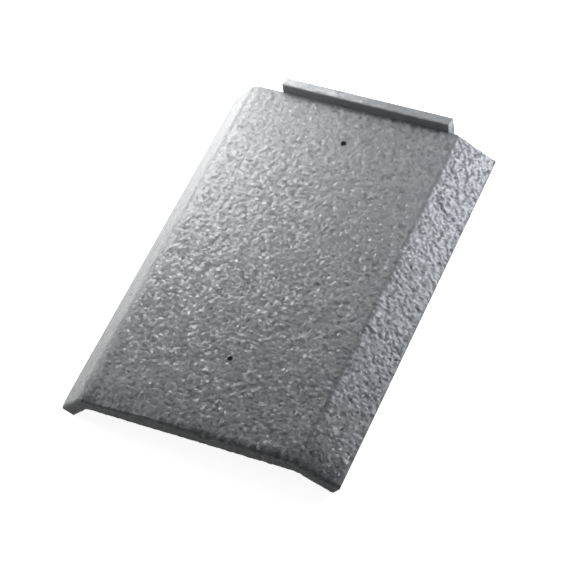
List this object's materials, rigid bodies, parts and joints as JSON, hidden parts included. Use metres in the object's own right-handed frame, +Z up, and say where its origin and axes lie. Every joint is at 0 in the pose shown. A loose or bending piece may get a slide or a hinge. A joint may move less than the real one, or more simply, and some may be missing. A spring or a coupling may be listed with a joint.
{
  "type": "roof gable cap tile",
  "caption": "Flat concrete roof tile with a short steep flank, a longer shallow flank, a weather rib behind its head and nail holes on its centre line.",
  "frame": {"origin": "on the floor, under the middle of the tile's overall length and width", "axes": "+Y along the tile from its tail to its head, +Z up out of its flat top, +X across it from the short steep flank to the long shallow flank"},
  "size_m": [0.2928, 0.435, 0.0543],
  "materials": {
    "tile_concrete": "riven, slate grey, semi-gloss coat"
  },
  "bodies": {
    "root": {"gable_cap_tile": "tile_concrete"}
  },
  "joints": []
}
